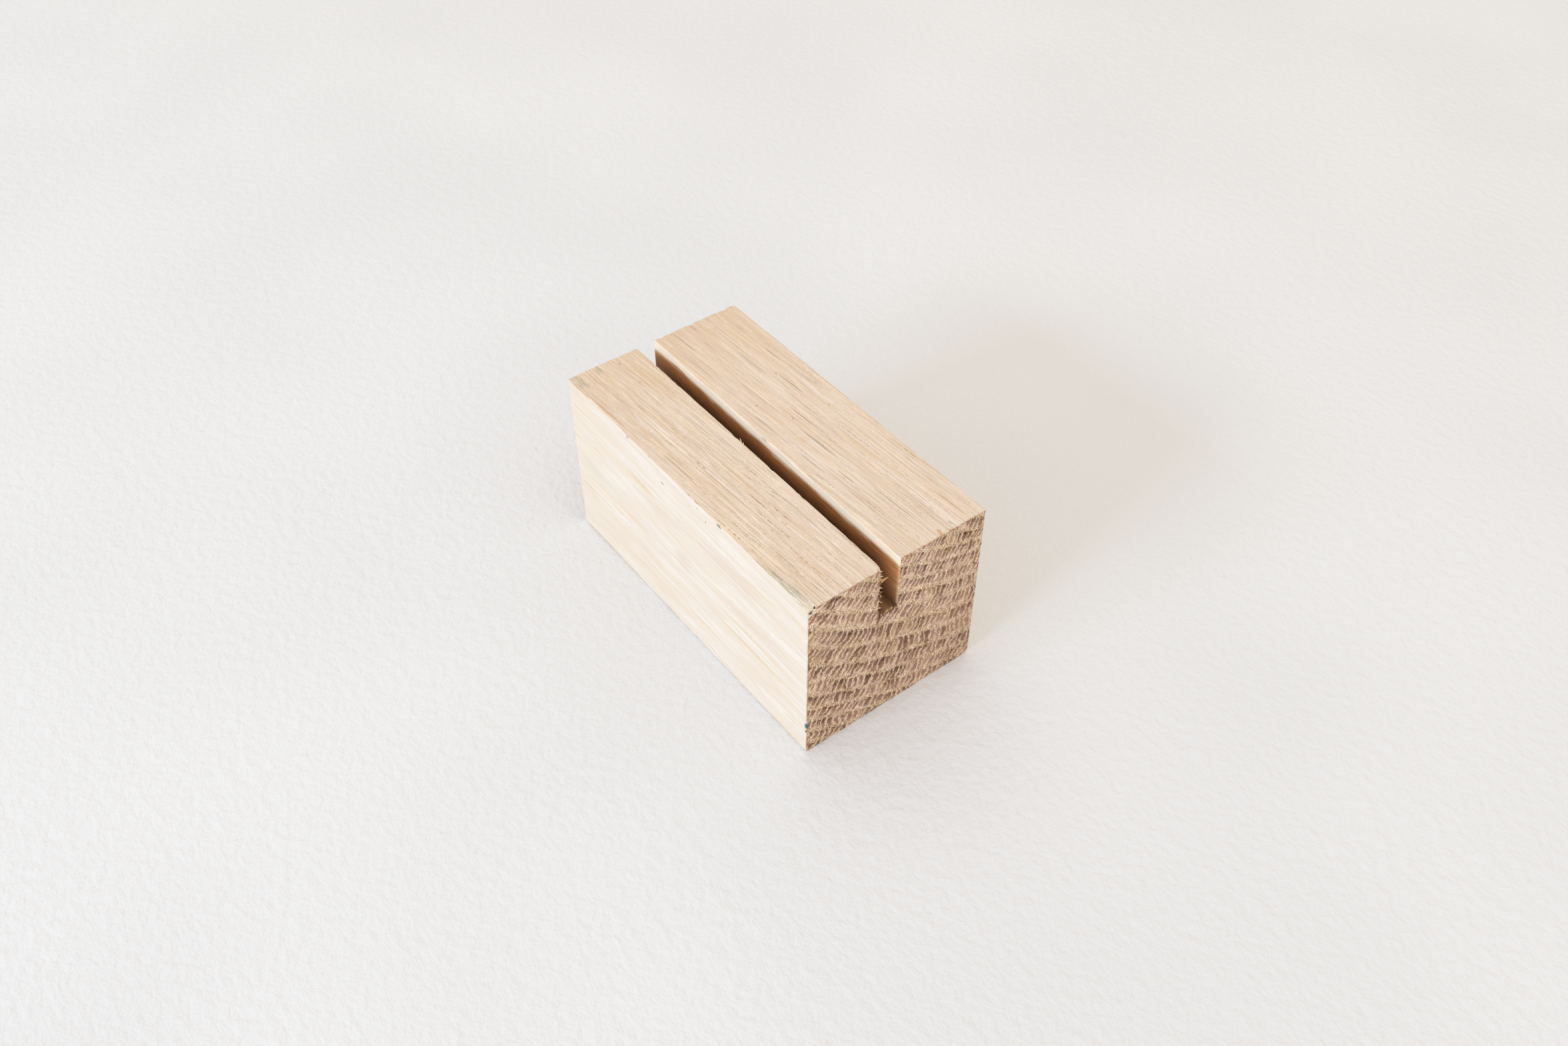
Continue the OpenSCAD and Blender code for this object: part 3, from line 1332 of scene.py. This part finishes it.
    @staticmethod
    def _face_of(axis: int, side: int, open_y: np.ndarray, open_z: np.ndarray,
                 cells: np.ndarray) -> np.ndarray:
        """Names the face that each side of a cell is on.

        Args:
            axis: The axis that the sides are square to.
            side: 1 or -1, the way that they face.
            open_y: Which columns of cells the slot takes.
            open_z: Which layers of cells it takes.
            cells: The cells.

        Returns:
            The number of the face for each cell.
        """
        outer = {(0, 1): Face.NEAR_END, (0, -1): Face.FAR_END, (1, 1): Face.REAR,
                 (1, -1): Face.FRONT, (2, 1): Face.TOP, (2, -1): Face.BASE}
        inner = {(1, 1): Face.SLOT_FRONT, (1, -1): Face.SLOT_REAR, (2, 1): Face.SLOT_FLOOR}
        beside = np.zeros(len(cells), bool)
        if axis == 1:
            last = cells[:, 1] == (len(open_y) - 1 if side > 0 else 0)
            beside = open_z[cells[:, 2]] & ~last
        elif axis == 2 and side > 0:
            beside = open_y[cells[:, 1]]
        name = outer[axis, side].value
        return np.where(beside, inner.get((axis, side), outer[axis, side]).value, name)

    def _section(self, places: np.ndarray) -> np.ndarray:
        """How far each place is outside the block's section, leaving out its ends."""
        _, y, z = places.T
        top = z - self.high[2]
        body = eased(self.low[1] - y, top, self.arris)
        body = eased(y - self.high[1], body, self.arris)
        body = eased(self.low[2] - z, body, np.where(y < 0, self.toe, self.heel))
        aside = np.abs(y - self.slot_mid)
        floor = self.slot_crown - self.floor_crown * aside / (self.kerf / 2)
        slot = np.minimum(self.kerf / 2 - aside, z - floor)
        return eased(body, slot, np.where(y < self.slot_mid, self.front_lip, self.rear_lip))

    def _outside(self, places: np.ndarray) -> np.ndarray:
        """How far each place is outside the whole block."""
        x, y, _ = places.T
        ends = np.abs(x - (self.low[0] + self.high[0]) / 2) - (self.high[0] - self.low[0]) / 2
        body = eased(self._section(places), ends, self.end_arris)
        for cut in self.cuts:
            body = eased(body, cut.outside(places, self.high[0], self.high[2]), self.cut_arris)
        broken = self.mouth_cut.outside(places, self.high[0], self.high[2])
        broken = np.where(y < self.slot_mid, broken, FAR_INSIDE)
        return eased(body, broken, self.cut_arris)

    def _slope(self, places: np.ndarray, step: float = 0.01) -> np.ndarray:
        """The way out of the wood at each place, as unit vectors."""
        slope = np.stack([self._outside(places + step * way) - self._outside(places - step * way)
                          for way in np.eye(3)], 1)
        return slope / np.maximum(np.linalg.norm(slope, axis=1, keepdims=True), NO_SLOPE)

    def _settle(self, places: np.ndarray, depth: np.ndarray) -> np.ndarray:
        """Moves each place to its depth under the block's own surface.

        Args:
            places: Places on the square block.
            depth: How much wood is gone there.

        Returns:
            The moved places.
        """
        places = places.copy()
        for _ in range(self.settle_steps):
            gap = self._outside(places) + depth
            places -= self._slope(places) * gap[:, None]
        return places

    def _wear(self, places: np.ndarray) -> np.ndarray:
        """How much wood is gone at each place, beyond the clean cuts.

        Args:
            places: Places on the square block.

        Returns:
            Depths in millimetres.
        """
        x, y, z = places.T
        low, high = self.low, self.high
        near, far = high[0] - x, x - low[0]
        aside = np.abs(y - self.slot_mid) - self.kerf / 2
        beside_slot = z > self.slot_floor - self.floor_margin
        to_sides = np.minimum(y - low[1], high[1] - y)
        to_flats = np.minimum(z - low[2], high[2] - z)
        to_slot = np.where(beside_slot, np.abs(aside), np.hypot(aside, self.slot_floor - z))
        to_slot = np.where((aside < 0) & ~beside_slot, self.slot_floor - z, to_slot)
        section = np.minimum(np.minimum(to_sides, to_flats), to_slot)
        away = high[0] - low[0]
        mouth = np.where(beside_slot, np.hypot(near, y - self.slot_front), away)
        floor_end = np.where(aside < self.floor_beside, np.hypot(near, z - self.slot_floor), away)
        depth = self.near_tear.at(places, np.hypot(near, section))
        depth += self.far_tear.at(places, np.hypot(far, section))
        depth += self.mouth_tear.at(places, mouth)
        depth += self.floor_tear.at(places, floor_end)
        depth += self.arris_tear.at(places, np.hypot(to_sides, to_flats))
        depth += self.lip_tear.at(places, np.hypot(aside, high[2] - z))
        across, down = self.tree.from_pith(x, y, z)
        phase = self.tree.rings(np.hypot(across, down)) % 1.0
        pores = self.pore_sink * fade(np.minimum(phase, 1 - phase), self.pore_spread)
        ends = np.minimum(near, far) < TOUCHING
        saw = pores + self.saw_fuzz.at(places) + self.saw_lumps.at(places)
        return depth + np.where(ends, saw, 0.0)


PALE_FIBRE = LooseFibre("pale_fibre", linear(252, 236, 220), linear(240, 212, 188))
AMBER_FIBRE = LooseFibre("amber_fibre", linear(238, 190, 126), linear(172, 116, 64))


@dataclass(frozen=True)
class Splinter:
    """One torn fibre: a flat tapered sliver that bends from its root to its tip."""

    root: Point
    tip: Point
    width: float
    bow: Point = (0.0, 0.0, 0.0)
    thin: float = 0.45
    taper: float = 0.6


@dataclass
class TornFibres:
    """The fibres that the saw left standing at one place."""

    name: str
    splinters: tuple[Splinter, ...]
    finish: LooseFibre = LooseFibre()
    rings: int = 7
    sides: int = 6

    def build(self) -> bpy.types.Object:
        """Makes the fibres as one mesh of closed slivers."""
        points: list[Vector] = []
        polygons: list[tuple[int, ...]] = []
        for splinter in self.splinters:
            self._grow(splinter, points, polygons)
        mesh = bpy.data.meshes.new(self.name)
        mesh.from_pydata([p * MM for p in points], [], polygons)
        mesh.polygons.foreach_set("use_smooth", [True] * len(mesh.polygons))
        made = bpy.data.objects.new(self.name, mesh)
        bpy.context.scene.collection.objects.link(made)
        return made

    def _grow(self, splinter: Splinter, points: list[Vector],
              polygons: list[tuple[int, ...]]) -> None:
        """Adds one sliver's points and polygons to the lists.

        Args:
            splinter: The sliver.
            points: The points so far.
            polygons: The polygons so far.
        """
        root, tip, bow = (Vector(v) for v in (splinter.root, splinter.tip, splinter.bow))
        way = (tip - root).normalized()
        wide = way.orthogonal().normalized()
        flat = way.cross(wide)
        start = len(points)
        for ring in range(self.rings):
            t = ring / self.rings
            middle = root.lerp(tip, t) + bow * (4 * t * (1 - t))
            half = splinter.width / 2 * (1 - t) ** splinter.taper
            for side in range(self.sides):
                angle = 2 * math.pi * side / self.sides
                points.append(middle + wide * (math.cos(angle) * half)
                              + flat * (math.sin(angle) * half * splinter.thin))
        points.append(tip)
        last = start + self.rings * self.sides
        polygons.append(tuple(range(start + self.sides - 1, start - 1, -1)))
        for ring in range(self.rings):
            for side in range(self.sides):
                a = start + ring * self.sides + side
                b = start + ring * self.sides + (side + 1) % self.sides
                if ring < self.rings - 1:
                    polygons.append((a, b, b + self.sides, a + self.sides))
                else:
                    polygons.append((a, b, last))


def torn_fibres() -> list[TornFibres]:
    """The places where fibres stand, as the photograph shows them."""
    return [
        TornFibres("mouth_fibres", (
            Splinter((30.30, -3.2, 28.6), (30.55, -2.65, 29.2), 0.14),
            Splinter((30.30, -3.2, 26.2), (30.60, -2.85, 26.5), 0.14),
            Splinter((30.30, -3.2, 24.3), (30.62, -2.9, 24.2), 0.16),
            Splinter((30.20, -3.5, 30.4), (30.52, -3.15, 30.7), 0.30, thin=0.8),
            Splinter((30.20, -3.5, 29.6), (30.56, -3.00, 29.6), 0.32, thin=0.8),
            Splinter((30.25, -3.4, 27.3), (30.58, -3.02, 27.2), 0.30, thin=0.9),
            Splinter((30.25, -3.4, 25.2), (30.56, -2.98, 25.6), 0.26, thin=0.7),
            Splinter((30.25, -3.4, 23.1), (30.55, -3.05, 23.2), 0.30, thin=0.9),
        )),
        TornFibres("corner_sliver", (
            Splinter((30.40, -16.0, 29.72), (30.5, -12.6, 31.0), 0.22, (0.03, 0.0, 0.0),
                     thin=0.7, taper=0.25),
        ), PALE_FIBRE),
        TornFibres("floor_fibres", (
            Splinter((30.3, -2.75, 21.1), (30.55, -2.95, 21.95), 0.24, (0.05, 0, 0)),
            Splinter((30.3, -1.9, 21.3), (30.55, -1.75, 22.1), 0.26, (0.06, 0, 0)),
            Splinter((30.3, -0.9, 21.3), (30.58, -1.05, 22.2), 0.24, (0.05, 0, 0)),
        )),
        TornFibres("lip_fibres", (
            Splinter((-2.1, -3.2, 30.85), (-2.9, -3.0, 31.28), 0.20, (0.0, 0.05, 0.06)),
            Splinter((-1.6, -3.2, 30.90), (-2.0, -2.9, 31.12), 0.12),
            Splinter((-0.3, 0.15, 30.6), (-1.2, -0.15, 31.15), 0.16, (0.0, -0.1, 0.0)),
        )),
        TornFibres("arris_fibres", (
            Splinter((30.3, 11.4, 30.8), (30.5, 11.35, 31.2), 0.12),
            Splinter((30.2, 8.4, 30.95), (29.6, 8.9, 31.05), 0.07, (0.0, 0.10, 0.16)),
            Splinter((30.3, 9.6, 30.9), (29.9, 9.7, 31.05), 0.07, (0.0, 0.05, 0.14)),
            Splinter((28.7, 15.7, 30.9), (28.2, 15.9, 31.18), 0.10),
            Splinter((28.7, 15.8, 30.85), (28.75, 16.05, 31.12), 0.10),
        )),
        TornFibres("amber_mouth_fibres", (
            Splinter((30.35, -3.2, 28.3), (30.62, -2.15, 29.05), 0.34, (0.02, 0.0, 0.06),
                     thin=0.7, taper=0.35),
            Splinter((30.3, -2.3, 21.2), (30.60, -2.2, 21.85), 0.22, (0.05, 0, 0)),
            Splinter((30.3, -1.4, 21.3), (30.60, -1.3, 21.9), 0.22, (0.04, 0, 0)),
            Splinter((30.3, -0.4, 21.1), (30.58, -0.3, 21.8), 0.22, (0.05, 0, 0)),
        ), AMBER_FIBRE),
        TornFibres("amber_arris_fibres", (
            Splinter((30.45, 7.67, 30.94), (29.25, 7.72, 31.10), 0.34, taper=0.12, thin=0.7),
            Splinter((30.4, 9.05, 30.85), (30.2, 9.15, 31.25), 0.16),
            Splinter((30.4, 9.25, 30.85), (30.5, 9.3, 31.18), 0.12),
            Splinter((30.4, 10.1, 30.85), (30.1, 10.25, 31.28), 0.09, (0.05, 0.08, 0.0)),
            Splinter((28.9, 15.75, 30.8), (28.45, 15.95, 31.2), 0.09),
            Splinter((29.9, 15.75, 30.88), (29.0, 15.82, 31.02), 0.14),
        ), AMBER_FIBRE),
    ]


TEAL = Spots(linear(26, 96, 108), 0.9, 0.5, (
    (30.4, -16.0, 6.2, 0.45, 0.45, 0.75), (30.4, -16.0, 4.9, 0.3, 0.3, 0.35),
))


def on_end(*marks: Row) -> tuple[tuple[float, ...], ...]:
    """Spots on the near end, from the Y and Z and the two half sizes of each."""
    return tuple((NEAR_X, y, z, 0, half_y, half_z) for y, z, half_y, half_z in marks)


def on_top(*marks: Row) -> tuple[tuple[float, ...], ...]:
    """Spots on the top, from the X and Y and the two half sizes of each."""
    return tuple((x, y, 0, half_x, half_y, 0) for x, y, half_x, half_y in marks)


def on_side(*marks: Row) -> tuple[tuple[float, ...], ...]:
    """Spots on the sides, from the X and Z and the two half sizes of each."""
    return tuple((x, 0, z, half_x, 0, half_z) for x, z, half_x, half_z in marks)


def end_finish() -> EndGrain:
    """The finish of the two ends, with the marks along the near end's edges."""
    red = Spots(linear(180, 90, 66), 0.7, 0.8, on_end(
        (-15.75, 28.45, 0.45, 0.28), (-15.2, 28.75, 0.45, 0.22), (-14.6, 29.0, 0.4, 0.16),
        (-13.8, 30.75, 0.6, 0.12), (-15.8, 19.4, 0.4, 0.8), (-15.8, 9.2, 0.45, 0.4),
        (-15.7, 1.6, 0.5, 0.4),
    ))
    # Orange bands along the top edge and the front edge of the near end.
    arris_tint = Spots(linear(214, 154, 100), 0.75, 1.4, on_end(
        (0, 31.05, 30, 0.45), (-16.1, 15, 0.5, 30),
    ))
    split = Spots(linear(246, 226, 210), 0.8, 0.4, on_end(
        (-15.6, 29.95, 0.55, 0.17), (-14.9, 30.2, 0.55, 0.17), (-14.2, 30.45, 0.55, 0.16),
        (-13.4, 30.7, 0.6, 0.14),
    ))
    # Dark spots: painted shade in the hole at the front top corner, a painted shadow along the
    # torn end of the front cheek at the slot's mouth, and a dark spot at the rear top corner.
    holes = Spots(linear(66, 40, 26), 0.8, 0.4, (
        (30.3, -14.8, 31.0, 0.3, 0.22, 0.3), (30.5, -15.4, 30.6, 0.3, 0.2, 0.2),
        *on_end((15.85, 30.5, 0.2, 0.5), (-3.3, 26.0, 0.25, 2.0), (-3.2, 28.9, 0.2, 0.7),
                (-3.25, 22.8, 0.25, 1.2)),
    ))
    return EndGrain(marks=(arris_tint, split, red, holes, TEAL))


def top_finish() -> LongGrain:
    """The finish of the sawn top, with the rays and stains that it shows."""
    rays = Spots(linear(168, 140, 116), 0.55, 0.5, on_top(
        (4.75, 5.85, 5.2, 0.25), (-1.6, 7.6, 3.2, 0.15), (21.75, 6.5, 5.0, 0.12),
        (-8.5, 11.0, 3.6, 0.20), (-16.2, 13.1, 2.5, 0.15), (13.2, 4.5, 2.2, 0.15),
        (7.5, 2.35, 3.5, 0.15), (26.0, 12.9, 4.0, 0.10), (-27.0, 3.7, 3.5, 0.15),
        (-3.7, 2.1, 3.2, 0.15), (-29.2, 7.0, 1.2, 0.12), (28.2, -12.4, 2.2, 0.12),
        (9.0, -8.75, 2.5, 0.12), (-3.2, -13.75, 4.2, 0.15),
    ))
    shades = Spots(linear(200, 176, 160), 0.5, 0.4, on_top(
        (-16.5, 9.1, 5.0, 0.5), (11.5, 12.0, 7.5, 0.14), (-20.5, 2.0, 5.5, 0.22),
        (-10.5, -5.1, 4.0, 0.2), (-2.7, -4.9, 3.5, 0.14), (-29.0, -5.2, 1.5, 0.2),
        (-21.0, -12.2, 3.0, 0.3), (-17.5, -10.75, 1.5, 0.2), (9.0, -12.75, 1.2, 0.2),
        (-6.5, 14.2, 0.6, 0.3),
    ), full=1.0)
    amber = Spots(linear(206, 156, 92), 0.6, 1.0, on_top(
        (-19.5, -15.3, 8.0, 0.35), (-27.0, -15.9, 4.0, 0.3), (15.5, -9.6, 0.3, 0.15),
    ), full=1.3)
    stains = Spots(linear(216, 182, 134), 0.35, 0.6, on_top(
        (3.0, 4.5, 1.2, 1.6), (-27.0, 8.5, 4.0, 0.8), (-12.0, 14.8, 9.0, 0.7),
    ), full=1.6)
    lichen = Spots(linear(150, 160, 134), 0.70, 1.6, on_top(
        (25.5, -15.5, 6.0, 0.70), (-29.4, -11.0, 1.4, 0.7), (-28.6, -14.8, 2.4, 1.1),
        (29.4, 10.2, 1.0, 0.4), (28.6, 9.2, 1.2, 0.15),
    ), full=1.8, threads=Threads(1.4, 0.22, 9.0))
    moss = Spots(linear(122, 118, 84), 0.50, 2.0, on_top(
        (23.0, -15.35, 3.0, 0.14), (26.4, -14.95, 2.0, 0.14), (28.3, -14.85, 1.4, 0.12),
        (19.5, -15.9, 3.5, 0.12),
    ), full=1.0, threads=Threads(0.5, 0.12, 9.0))
    ochre = Spots(linear(222, 190, 132), 0.45, 2.0, on_top(
        (19.5, -15.6, 3.6, 0.4), (30.0, -15.2, 0.6, 0.35), (29.5, 15.85, 0.9, 0.15),
    ), full=1.6, threads=Threads(0.8, 0.14, 9.0))
    specks = Spots(linear(80, 80, 66), 0.5, 0.3, on_top(
        (15.5, -8.4, 0.2, 0.12), (15.4, -10.7, 0.2, 0.12), (-22.6, -11.8, 0.2, 0.12),
        (-23.0, -7.4, 0.25, 0.15), (-7.5, 3.6, 0.25, 0.15), (-1.7, 6.2, 0.25, 0.15),
        (-1.0, 12.6, 0.2, 0.15), (6.3, 15.9, 0.5, 0.15), (-12.0, 10.7, 0.4, 0.15),
        (10.1, -16.0, 0.7, 0.2), (-8.0, -15.9, 0.6, 0.12), (2.4, -15.8, 0.4, 0.12),
        (-28.7, -7.5, 0.4, 0.2), (30.25, -14.8, 0.3, 0.2), (30.2, 0.9, 0.5, 0.08),
        (27.9, 15.0, 0.2, 0.12),
    ), full=1.0)
    rows = VesselRows(rows=(
        (3.0, -7.1, 17.0, -4.5, 0.12), (5.0, -6.2, 16.5, -4.9, 0.10),
        (7.0, -6.9, 15.0, -5.5, 0.10), (0.0, -6.4, 8.0, -6.1, 0.10),
        (3.5, -10.2, 17.0, -9.4, 0.14), (3.0, 0.4, 17.0, 2.05, 0.16),
        (17.0, 6.2, 24.0, 6.7, 0.12), (3.2, -14.3, 6.5, -14.0, 0.12),
        (20.0, -3.6, 29.5, -3.0, 0.12), (17.0, 3.4, 30.0, 4.6, 0.12),
        (10.0, -13.8, 20.0, -13.0, 0.12), (19.0, -8.2, 30.0, -7.3, 0.12),
        (14.0, 9.4, 28.0, 10.2, 0.10),
    ))
    # Painted shade inside the small hole at the front near corner.
    painted_pit_shade = Spots(linear(58, 36, 20), 0.95, 0.2, on_top(
        (30.2, -14.75, 0.19, 0.15), (30.4, -15.35, 0.16, 0.14),
    ), full=0.5)
    return LongGrain(
        "sawn_top", base=linear(237, 219, 200),
        streaks=(
            Streaks(linear(229, 200, 160), 0.70, Threads(28.0, 2.4, 1.0)),
            Streaks(linear(226, 199, 183), 0.45, Threads(18.0, 0.7, 2.0)),
            Streaks(linear(210, 184, 158), 0.60, Threads(15.0, 0.38, 3.0), -0.15, 0.6),
            Streaks(linear(252, 238, 220), 0.65, Threads(17.0, 0.30, 4.0), 0.0, 0.6),
            Streaks(linear(188, 154, 122), 0.52, Threads(14.0, 0.15, 5.0), 0.1, 0.6),
            Streaks(linear(242, 214, 160), 0.32, Threads(10.0, 0.30, 21.0), 0.0, 0.6),
            Streaks(linear(232, 198, 190), 0.40, Threads(8.0, 0.32, 22.0), 0.0, 0.6),
        ),
        aged=linear(220, 188, 148), aged_share=0.35, line_share=0.155, grit_share=0.085,
        vessel_share=0.5, front_gain=0.7,
        rows=rows, marks=(rays, shades, stains, amber, lichen, ochre, moss, specks, painted_pit_shade),
    )


def side_finish() -> LongGrain:
    """The finish of the two planed sides, with the bands that the front one shows."""
    honey = Spots(linear(227, 201, 162), 0.9, 0.25, on_side(
        (15.5, 13.5, 14.5, 0.55), (17.0, 10.75, 13.0, 0.65), (5.0, 5.4, 5.5, 0.5),
        (-13.0, 13.5, 6.0, 0.5), (-18.5, 11.7, 2.5, 0.5), (-27.2, 10.4, 3.8, 0.5),
        (-22.5, 0.3, 4.0, 0.5), (-28.0, 26.6, 4.0, 0.5), (-23.0, 21.0, 3.4, 0.4),
        (-29.5, 20.0, 1.5, 0.5), (20.0, 25.2, 6.0, 0.5), (-11.0, 23.5, 5.0, 1.0),
        (25.0, 0.6, 6.0, 0.5),
    ), full=1.5, threads=Threads(14.0, 0.5, 4.0))
    tan = Spots(linear(224, 198, 178), 0.55, 0.6, on_side(
        (0.0, 15.5, 3.5, 2.5), (19.0, 16.0, 12.0, 2.0), (12.0, 23.5, 14.0, 2.5),
        (-6.0, 21.0, 8.0, 2.0),
    ), full=1.4, threads=Threads(6.0, 0.25, 5.0))
    grey = Spots(linear(212, 206, 188), 0.5, 0.5, on_side(
        (-24.0, 15.5, 8.0, 1.5),
    ), full=1.4, threads=Threads(7.0, 0.4, 6.0))
    lines = Spots(linear(206, 164, 124), 0.5, 0.5, on_side(
        (5.0, 22.9, 1.2, 0.1), (20.0, 22.8, 7.0, 0.1), (27.0, 4.3, 2.2, 0.1),
        (9.0, 13.0, 6.0, 0.1),
    ))
    specks = Spots(linear(76, 84, 78), 0.75, 0.3, on_side(
        (4.7, 30.1, 0.2, 0.15), (6.7, 29.0, 0.15, 0.2), (2.7, 29.2, 0.12, 0.12),
        (-4.4, 28.3, 0.5, 0.15), (10.0, 30.75, 0.8, 0.2), (-13.5, 30.9, 0.4, 0.12),
    ))
    return LongGrain(
        "planed_side", base=linear(234, 219, 201),
        streaks=(
            Streaks(linear(230, 206, 172), 0.50, Threads(24.0, 1.5, 1.0)),
            Streaks(linear(230, 208, 190), 0.45, Threads(18.0, 0.5, 2.0)),
            Streaks(linear(242, 234, 224), 0.70, Threads(30.0, 0.9, 3.0), -0.3, 0.6),
            Streaks(linear(220, 198, 176), 0.30, Threads(14.0, 0.25, 4.0), -0.1, 0.6),
            Streaks(linear(234, 210, 166), 0.30, Threads(12.0, 0.36, 21.0), 0.0, 0.6),
            Streaks(linear(236, 210, 204), 0.30, Threads(10.0, 0.36, 22.0), 0.0, 0.6),
        ),
        aged=linear(226, 204, 172), aged_share=0.15, vessel_share=0.26, line_share=0.10,
        grit_share=0.008, front_gain=-0.62, marks_on_front_only=True, rough=0.6, relief=0.004,
        marks=(honey, tan, grey, lines, specks, TEAL),
    )


def finishes() -> list[bpy.types.Material]:
    """Makes the finishes in the order of the block's material slots."""
    return [made.material() for made in (end_finish(), top_finish(), side_finish(), SlotWall())]


def main() -> None:
    """Builds the block and its surroundings."""
    logging.basicConfig(level=logging.INFO, format="%(message)s")
    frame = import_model()
    low, high = (np.array(corner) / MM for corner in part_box(NODE))
    mount = next(m for m in frame["record"]["mounts"] if m["name"] == MOUNT)
    block = Block(low, high, mount["pos_m"][1] / MM, mount["pos_m"][2] / MM)
    piece = block.build()
    for material in finishes():
        piece.data.materials.append(material)
    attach(piece, BODY)
    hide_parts(NODE)
    LOG.info("%s: %d quads", piece.name, len(piece.data.polygons))
    fibre_finishes: dict[LooseFibre, bpy.types.Material] = {}
    for fibres in torn_fibres():
        if fibres.finish not in fibre_finishes:
            fibre_finishes[fibres.finish] = fibres.finish.material()
        piece = fibres.build()
        piece.data.materials.append(fibre_finishes[fibres.finish])
        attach(piece, BODY)
        LOG.info("%s: %d fibres", piece.name, len(fibres.splinters))
    Studio().set_up()


if __name__ == "__main__":
    main()
